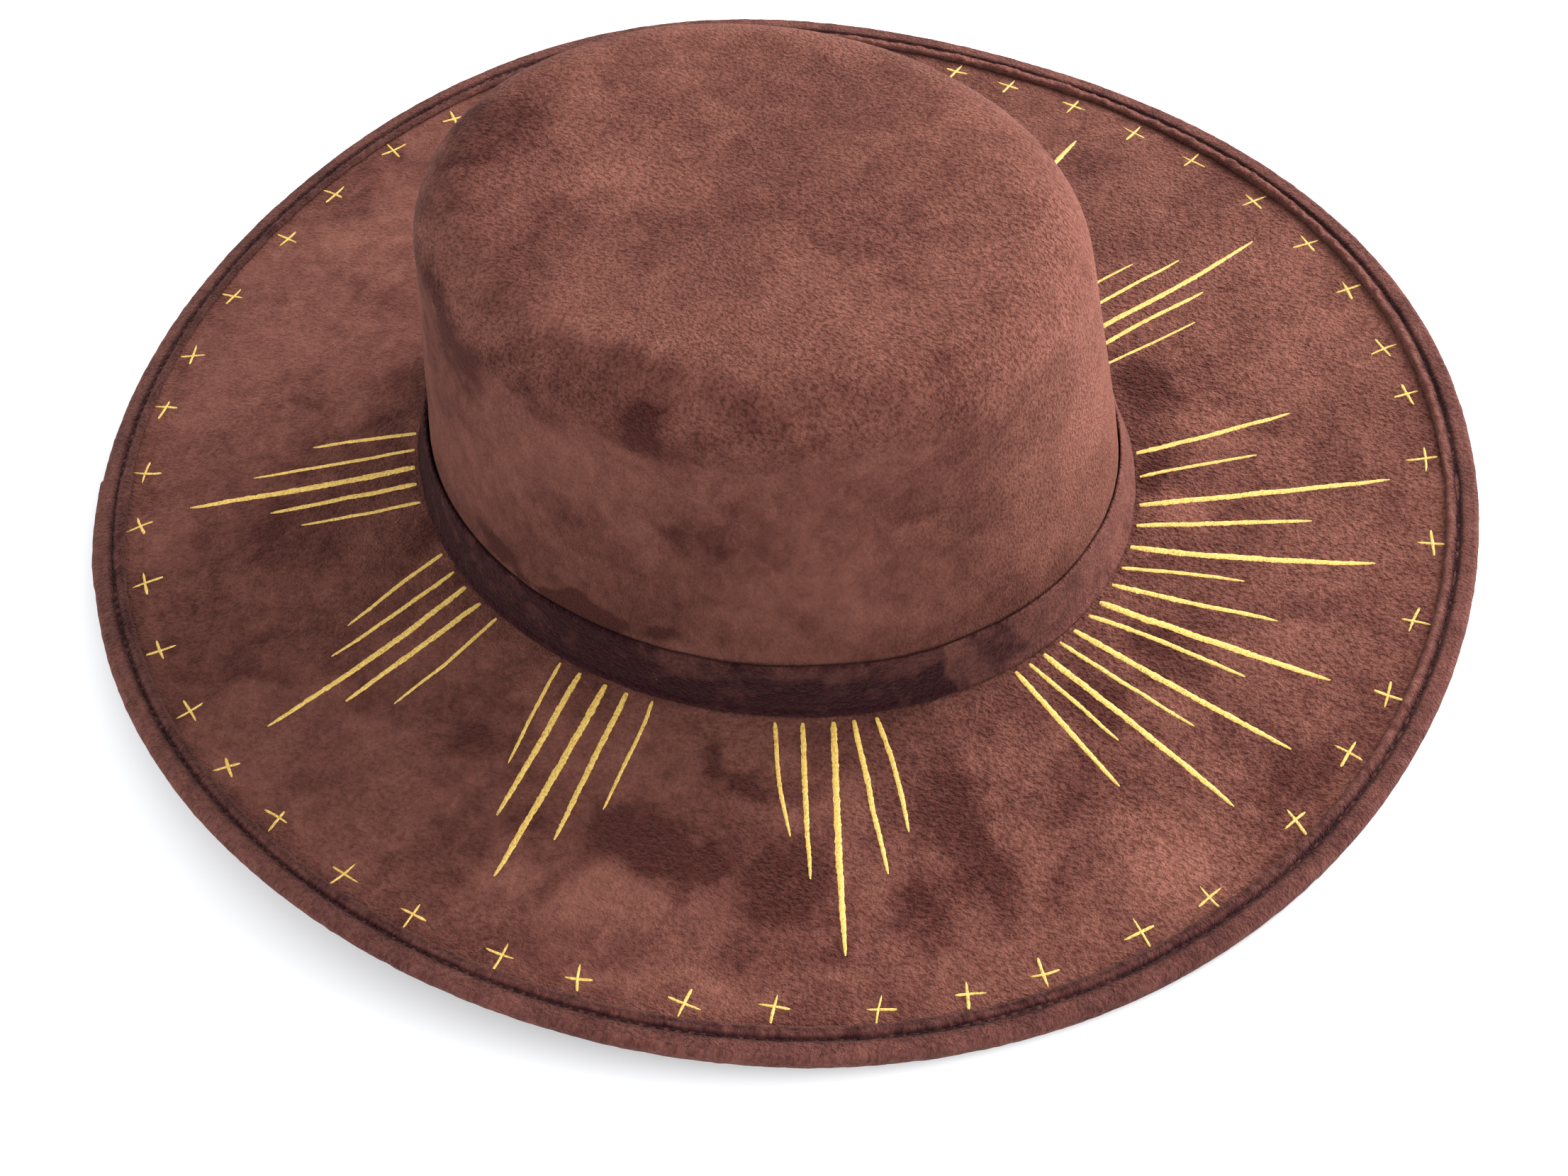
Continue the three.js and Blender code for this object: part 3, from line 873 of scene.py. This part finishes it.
def binding_stitches():
    """The thread shows between the needle holes, in the groove above and the groove below."""
    bearing = (np.arange(STITCH_COUNT) + 0.5) * 2 * np.pi / STITCH_COUNT
    step = 0.3 * 2 * np.pi / STITCH_COUNT
    centres, alongs, ups = [], [], []
    for height, side in ((BINDING_TOP - 0.4, 1), (BINDING_BOTTOM + 0.4, -1)):
        centre = place(bearing, STITCH_OFFSET, height)
        before, after = (place(bearing + turn, STITCH_OFFSET, height) for turn in (-step, step))
        along = unit(after - before)
        out = unit(place(bearing, STITCH_OFFSET + 1, height) - centre)
        up = np.cross(out, along) * side
        drift = np.random.default_rng(85).normal(0, 0.08, (len(bearing), 1))
        lean = np.random.default_rng(86).normal(0, 0.07, (len(bearing), 1))
        hidden = along_arc(degrees_from_front(centre), -60, -10, 90, 170)[:, None]
        centres.append(centre + out * drift - up * (0.1 + 0.3 * hidden))
        alongs.append(unit(along + out * lean))
        ups.append(up)
    centres, alongs, ups = map(np.concatenate, (centres, alongs, ups))
    piece = capsules("binding_stitches", centres, alongs, ups, 2.1, 0.45, 0.5)
    shader = Shader("thread", Roughness=0.9, Specular_IOR_Level=0.1)
    twist = shader.noise(shader.stretch(shader.position(), (2, 2, 2)), 0.6)
    shader.colour(shader.ramp(twist, (0.3, (0.012, 0.005, 0.006)), (0.7, (0.03, 0.012, 0.012))))
    shader.bump(twist, 0.5, 0.1)
    return wear(piece, shader)


# -------- gold paint


def on_brim(plan):
    """The bearings and offsets of points given in plan."""
    bearing = bearing_of(plan)
    oval = np.hypot(HALF_WIDTH * np.sin(bearing), HALF_LENGTH * np.cos(bearing))
    offset = np.hypot(plan[..., 0], plan[..., 1]) - oval
    for _ in range(5):
        at = place(bearing, offset, 0)[..., :2]
        a = (place(bearing + 1e-4, offset, 0)[..., :2] - at) / 1e-4
        b = (place(bearing, offset + 0.01, 0)[..., :2] - at) / 0.01
        miss = plan - at
        scale = a[..., 0] * b[..., 1] - a[..., 1] * b[..., 0]
        bearing = bearing + (miss[..., 0] * b[..., 1] - miss[..., 1] * b[..., 0]) / scale
        offset = offset + (a[..., 0] * miss[..., 1] - a[..., 1] * miss[..., 0]) / scale
    return bearing, offset


def plan_point(bearing, offset):
    return place(math.radians(bearing), offset, 0)[:2]


def stroke(start, end, width, wobble, seed):
    """One brush stroke as rows of five points across, with how dry the paint is at each row."""
    rng = np.random.default_rng(seed)
    length = np.linalg.norm(end - start)
    count = max(int(length / 0.8), 9)
    t = np.linspace(0, 1, count)[:, None]
    along = (end - start) / length
    across = np.array([-along[1], along[0]])
    bow = wobble * np.sin(np.pi * t) * rng.normal()
    shakes = rng.normal(0, 0.1, int(length / 7) + 2)
    shake = np.interp(t[:, 0] * length, np.arange(0, length + 7, 7), shakes)
    middle = start + t * (end - start) + across * (bow + shake[:, None])
    full = np.interp(t[:, 0], [0, 0.02, 0.1, 0.5, 0.85, 0.97, 1], [0.6, 0.9, 1.05, 1.05, 0.85, 0.6, 0.25])
    half = width / 2 * full[:, None] * (1 + rng.normal(0, 0.07, (count, 1)))
    ragged = 1 + rng.normal(0, 0.08, (count, 5))
    sides = np.array([-1, -0.6, 0, 0.6, 1]) * half * ragged
    plan = middle[:, None, :] + across * sides[..., None]
    dry = np.interp(t[:, 0], [0, 0.5, 0.85, 1], [0, 0.04, 0.2, 0.4])
    return plan, dry[:, None] + np.array([0.3, 0.06, 0, 0.06, 0.3])


def painted(name, strokes):
    """Strips of paint that follow the brim's cloth, proud of it along the middle and sunk in at the edges."""
    points, faces, dryness = [], [], []
    start = 0
    for plan, dry in strokes:
        bearing, offset = on_brim(plan)
        base = place(bearing, offset, 0)
        base[..., 2] += brim_relief(base) + PAINT_HEIGHTS
        points.append(base.reshape(-1, 3))
        dryness.append(dry.ravel())
        faces += grid_faces(*dry.shape, False, False, start)
        start += dry.size
    points = np.concatenate(points)
    piece = mesh_piece(name, points, faces, {"grain": points, "dry": np.concatenate(dryness)})
    return wear(piece, gold_paint())


def ray_lines():
    """Each ray's starting bearing, the bearing of its tip, how far out it reaches and its width.

    The front fan opens wider towards +X. The bunches narrow a little outwards."""
    for n, (reach, width) in enumerate(FAN):
        yield -30 + 2.6 * n + 0.12 * n**2, -29 + 3.4 * n + 0.07 * n**2, reach, width
    for middle, lean in BUNCHES:
        for n, (reach, width) in enumerate(BUNCH):
            aside = 4 * (n - 2)
            yield middle + aside, middle + lean + 0.8 * aside, reach, width


def gold_rays():
    """Painted by hand, so each ray strays a little from its line."""
    rng = np.random.default_rng(40)
    strokes = []
    for number, (begin, tip, reach, width) in enumerate(ray_lines()):
        start = plan_point(begin + rng.normal(0, 0.3), RAY_START)
        end = plan_point(tip + rng.normal(0, 0.3), reach + rng.normal(0, 2))
        strokes.append(stroke(start, end, width + rng.normal(0, 0.15), 0.5, 300 + number))
    return painted("gold_rays", strokes)


def gold_plus_marks():
    """Evenly spaced by eye, so neither the spacing nor the crosses are exact."""
    rng = np.random.default_rng(41)
    strokes = []
    for number in range(MARK_COUNT):
        bearing = 3 + number * 360 / MARK_COUNT + rng.normal(0, 0.6)
        offset = MARK_OFFSET + rng.normal(0, 0.6)
        centre = plan_point(bearing, offset)
        outward = plan_point(bearing, offset + 5) - centre
        angle = math.atan2(outward[1], outward[0]) + math.radians(rng.normal(0, 7))
        for arm in (0, 1):
            turn = angle + arm * math.pi / 2 + math.radians(rng.normal(0, 5)) + math.pi * rng.integers(2)
            reach = np.array([math.cos(turn), math.sin(turn)]) * rng.uniform(3.6, 4.6)
            shift = rng.normal(0, 0.35, 2)
            width = rng.uniform(0.75, 1.05)
            seed = 500 + 2 * number + arm
            strokes.append(stroke(centre - reach + shift, centre + reach + shift, width, 0.15, seed))
    return painted("gold_plus_marks", strokes)


# -------- inside of the crown


def thin_layer(line, outer_steps, inner_steps):
    """A lining's profile: its outer face lies still and its inner face takes the relief."""
    inner = line(LINING_DEPTH + LINING_THICKNESS, inner_steps)
    return joined((line(LINING_DEPTH, outer_steps), 0), (inner[::-1], 1))


def tip_lining():
    """An oval of satin under the flat top, a little slack."""
    def line(depth, steps):
        edge = shoulder_line(depth, math.radians(55), math.pi / 2, steps)
        return np.concatenate([edge, top_line(depth, 3 * steps)])

    def relief(points, bearing, profile):
        ripples = soft_noise(points * (1, 0.4, 1), 9, 91) * 0.5 + soft_noise(points, 28, 92) * 0.9
        return 0.7 + ripples * 0.6

    piece = swept("lining_tip", thin_layer(line, 4, 14), 300, relief)
    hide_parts("crown_tip_lining")
    return wear(piece, satin())


def side_lining():
    """A strip of satin round the wall, gathered a little where it meets the oval."""
    def line(depth, steps):
        shoulder = shoulder_line(depth, WALL_LEAN, math.radians(52), steps)
        wall = line_points((wall_offset(LINING_FOOT, depth), LINING_FOOT), shoulder[0], 2 * steps)
        return np.concatenate([wall, shoulder])

    def relief(points, bearing, profile):
        height = points[..., 2] - SEAM
        along = np.stack([bearing * 30 + 0 * height, height / 9, 0 * height], -1)
        gathers = np.abs(soft_noise(along, 1.1, 93))
        return 0.2 + gathers * 1.3 * smooth_step(height, 25, 96) + soft_noise(points, 22, 94) * 0.25

    piece = swept("lining_side", thin_layer(line, 5, 16), 620, relief)
    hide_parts("crown_side_lining")
    return wear(piece, satin())


def inner_offset(height, depth=0.0):
    return wall_offset(height, SWEATBAND_DEPTH + SWEATBAND_THICKNESS + depth)


def sweatband():
    """Ribbed ribbon whose foot is turned out under the reed, with two woven edges and a line of stitches."""
    top = SWEATBAND_TOP
    fold = SWEATBAND_FOOT + SWEATBAND_THICKNESS
    face = curve_through([
        (1.0, fold),
        (0.8, SWEATBAND_FOOT + 0.1),
        (-0.6, SWEATBAND_FOOT),
        (inner_offset(fold) + 0.4, SWEATBAND_FOOT + 0.25),
        (inner_offset(fold), fold),
        (inner_offset(3), 3),
    ], 5)
    wall = line_points((inner_offset(3), 3), (inner_offset(top - 0.4), top - 0.4), 24)
    edge = [(inner_offset(top) + across, top - drop) for across, drop in ((0.1, 0), (1.0, 0), (1.15, 0.5))]
    inside = np.concatenate([face, wall, edge])
    outside = [(wall_offset(height, SWEATBAND_DEPTH), height) for height in (12, fold)]

    def relief(points, bearing, profile):
        height = profile[:, 1:2]
        plain = np.maximum(smooth_step(height, top - 2.2, top - 1.8), 1 - smooth_step(height, 0.8, 1.2))
        ribs = 0.14 * np.cos(bearing * SWEATBAND_RIBS) * (1 - plain)
        seam = np.exp(-(((height - 4) / 0.5) ** 2)) * -0.25
        return ribs + seam + soft_noise(points, 40, 95) * 0.35

    profile = joined((outside, 0), (inside, 1))
    piece = swept("sweatband_ribbon", profile, 4 * SWEATBAND_RIBS, relief)
    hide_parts("sweatband")
    return wear(piece, ribbon_cloth("sweatband_cloth"))


def ribbon(path, half_widths, thickness, bearing, height):
    """A strip of ribbon on the sweatband. Path points are (along, up, in from the sweatband), and the
    half widths run square to the path in the plane of the sweatband."""
    path = curve_through(path, 6)
    half = np.interp(np.linspace(0, 1, len(path)), np.linspace(0, 1, len(half_widths)), half_widths)
    along = unit(np.gradient(path[:, :2], axis=0) + 1e-9)
    across = np.stack([-along[:, 1], along[:, 0]], 1)
    shares = np.linspace(-1, 1, 9)
    flat = path[:, None, :2] + across[:, None] * (half[:, None] * shares)[..., None]
    beside = place(bearing + 0.01, inner_offset(height), 0) - place(bearing, inner_offset(height), 0)
    turn = bearing + flat[..., 0] * 0.01 / np.linalg.norm(beside)
    up = height + flat[..., 1]
    front, back = (place(turn, inner_offset(up, path[:, 2:] + proud), up) for proud in (thickness, 0))
    ring = np.concatenate([front, back[:, ::-1]], axis=1)
    rows, sides = ring.shape[:2]
    faces = grid_faces(rows, sides, wrap_rows=False)
    faces.append(list(range(sides)))
    faces.append(list(range(rows * sides - 1, (rows - 1) * sides - 1, -1)))
    return ring, faces


def bow():
    """A flat ribbon bow over the sweatband's join: two loops, two tails and a knot round them."""
    loop = [(0, 0, 0.2), (4, 0.9, 0.3), (8, 1.0, 0.3), (11.6, 0.6, 0.5), (12.1, 0.5, 1.0)]
    loop += [(11.4, 0.6, 1.5), (8, 1.0, 1.7), (4, 0.9, 1.4), (0, 0, 1.3)]
    tail = [(0, 0, 0.2), (3.4, -3.2, 0.3), (7.2, -7.6, 0.2)]
    knot = [(0, -2.2, 0.1), (0, -2.3, 1.6), (0, 0, 2.2), (0, 2.3, 1.6), (0, 2.2, 0.1)]
    strips = []
    for side in (1, -1):
        strips.append((np.array(loop) * (side, 1, 1), [1.5, 3.1, 3.6, 3.8, 3.8, 3.8, 3.6, 3.1, 1.5]))
        strips.append((np.array(tail) * (side, 1, 1), [1.2, 1.7, 2.1]))
    strips.append((knot, [1.6, 1.7, 1.5, 1.7, 1.6]))
    points, faces, start = [], [], 0
    for path, widths in strips:
        ring, quads = ribbon(path, widths, 0.3, math.pi, BOW_HEIGHT)
        points.append(ring.reshape(-1, 3))
        faces += [[corner + start for corner in face] for face in quads]
        start += len(points[-1])
    piece = mesh_piece("sweatband_ribbon_bow", np.concatenate(points), faces)
    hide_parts("sweatband_bow")
    return wear(piece, ribbon_cloth("bow_cloth"))


def care_label():
    """A blank cloth label that hangs from the sweatband's edge and curls a little at its foot."""
    low, high = node_box("care_label")
    length = high[2] - low[2]
    middle = (high[2] + low[2]) / 2 - SEAM
    up = np.linspace(-length / 2, length / 2, 22)
    curl = 1.1 * (1 - smooth_step(up, -length / 2, length / 6)) ** 2
    path = np.stack([0.15 * np.sin(up / 3), up, 0.15 + curl], 1)
    ring, faces = ribbon(path, [9, 9.05, 9], 0.3, math.radians(LABEL_BEARING), middle)
    piece = mesh_piece("blank_care_label", ring, faces)
    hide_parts("care_label")
    shader = plain_cloth("label_cloth", (0.55, 0.5, 0.43), (0.75, 0.71, 0.64), 0.35, (1, 1, 3), 0.75)
    return wear(piece, shader)


# -------- materials of the hidden layers


def satin():
    shader = Shader("satin", Roughness=0.38, Specular_IOR_Level=0.5, Sheen_Weight=0.2)
    threads = shader.noise(shader.stretch(shader.position(), (1, 1, 6)), 0.5, 2)
    shader.colour(shader.ramp(threads, (0.3, (0.016, 0.009, 0.008)), (0.7, (0.034, 0.019, 0.016))))
    shader.bump(threads, 0.25, 0.08)
    return shader


def ribbon_cloth(name):
    return plain_cloth(name, (0.022, 0.012, 0.01), (0.06, 0.034, 0.028), 0.5, (1, 1, 5), 0.7)


def dress_hidden_nodes():
    """The layers inside the brim and crown keep their CAD shape and get a material."""
    board = plain_cloth("buckram", (0.3, 0.25, 0.18), (0.48, 0.42, 0.32), 0.8, (1, 1, 1), 0.8)
    tape = plain_cloth("twill_tape", (0.02, 0.012, 0.01), (0.05, 0.03, 0.026), 0.6, (1, 1, 3))
    plastic = Shader("reed_plastic", Roughness=0.45)
    grain = plastic.noise(plastic.position(), 2.0)
    plastic.colour(plastic.ramp(grain, (0.3, (0.24, 0.21, 0.17)), (0.7, (0.3, 0.27, 0.22))))
    steel = Shader("wire_steel", Metallic=1.0, Roughness=0.32)
    drawn = steel.noise(steel.position(), 1.2)
    steel.colour(steel.ramp(drawn, (0.3, (0.24, 0.24, 0.25)), (0.7, (0.42, 0.42, 0.43))))
    dressed = {
        "crown_stiffener": board,
        "brim_core": board,
        "headsize_tape": tape,
        "sweatband_reed": plastic,
        "brim_wire": steel,
        "wire_joint_sleeve": steel,
    }
    for name, shader in dressed.items():
        wear(bpy.data.objects[name], shader)


# -------- floor, light, camera


CAMERA_TARGET = (-44.5, -23.9)
CAMERA_AZIMUTH = -61.4
CAMERA_ELEVATION = 53.3
CAMERA_DISTANCE = 670.4
CAMERA_ROLL = -6.0
CAMERA_LENS = 53.7
SENSOR = 36


def towards(azimuth, elevation):
    a, e = math.radians(azimuth), math.radians(elevation)
    return Vector((math.sin(a) * math.cos(e), -math.cos(a) * math.cos(e), math.sin(e)))


def make_camera():
    data = bpy.data.cameras.new("camera")
    data.lens = CAMERA_LENS
    data.sensor_width = SENSOR
    data.clip_start = 0.01
    camera = add_object("camera", data)
    back = towards(CAMERA_AZIMUTH, CAMERA_ELEVATION)
    target = Vector((*CAMERA_TARGET, SEAM)) * MM
    turn = back.to_track_quat("Z", "Y").to_matrix() @ Matrix.Rotation(math.radians(CAMERA_ROLL), 3, "Z")
    camera.matrix_world = Matrix.Translation(target + back * CAMERA_DISTANCE * MM) @ turn.to_4x4()
    bpy.context.scene.camera = camera


def make_floor():
    """A pale floor a little below zero, because the nap of the brim's lowest places reaches down there."""
    size, height = 3000 * MM, -0.4 * MM
    corners = [(x * size, y * size, height) for x, y in ((-1, -1), (1, -1), (1, 1), (-1, 1))]
    mesh = bpy.data.meshes.new("floor")
    mesh.from_pydata(corners, [], [(0, 1, 2, 3)])
    floor = add_object("floor", mesh)
    shader = Shader("floor_cloth", Roughness=0.95, Specular_IOR_Level=0.1)
    shader.surface.inputs["Base Color"].default_value = (0.86, 0.87, 0.88, 1)
    wear(floor, shader)


def make_light(name, azimuth, elevation, distance, size, power, colour):
    data = bpy.data.lights.new(name, "AREA")
    data.shape = "DISK"
    data.size = size * MM
    data.energy = power
    data.color = colour
    direction = towards(azimuth, elevation)
    turn = direction.to_track_quat("Z", "Y").to_matrix().to_4x4()
    add_object(name, data).matrix_world = Matrix.Translation(direction * distance * MM) @ turn


def make_stage():
    make_floor()
    make_light("window", 62, 32, 1600, 1000, 56, (1.0, 0.985, 0.97))
    make_light("side", 12, 12, 1700, 1200, 36, (1.0, 0.985, 0.97))
    make_light("fill", -112, 18, 1900, 1800, 29, (1.0, 0.99, 0.98))
    world = bpy.data.worlds.new("studio")
    world.use_nodes = True
    sky = world.node_tree.nodes["Background"].inputs
    sky["Color"].default_value = (0.97, 0.98, 1.0, 1)
    sky["Strength"].default_value = 1.15
    bpy.context.scene.world = world
    bpy.context.scene.view_settings.view_transform = "Standard"


make_camera()
make_stage()
crown_cover()
hat_band()
brim_upper()
brim_under()
brim_binding()
binding_stitches()
gold_rays()
gold_plus_marks()
tip_lining()
side_lining()
sweatband()
bow()
care_label()
dress_hidden_nodes()
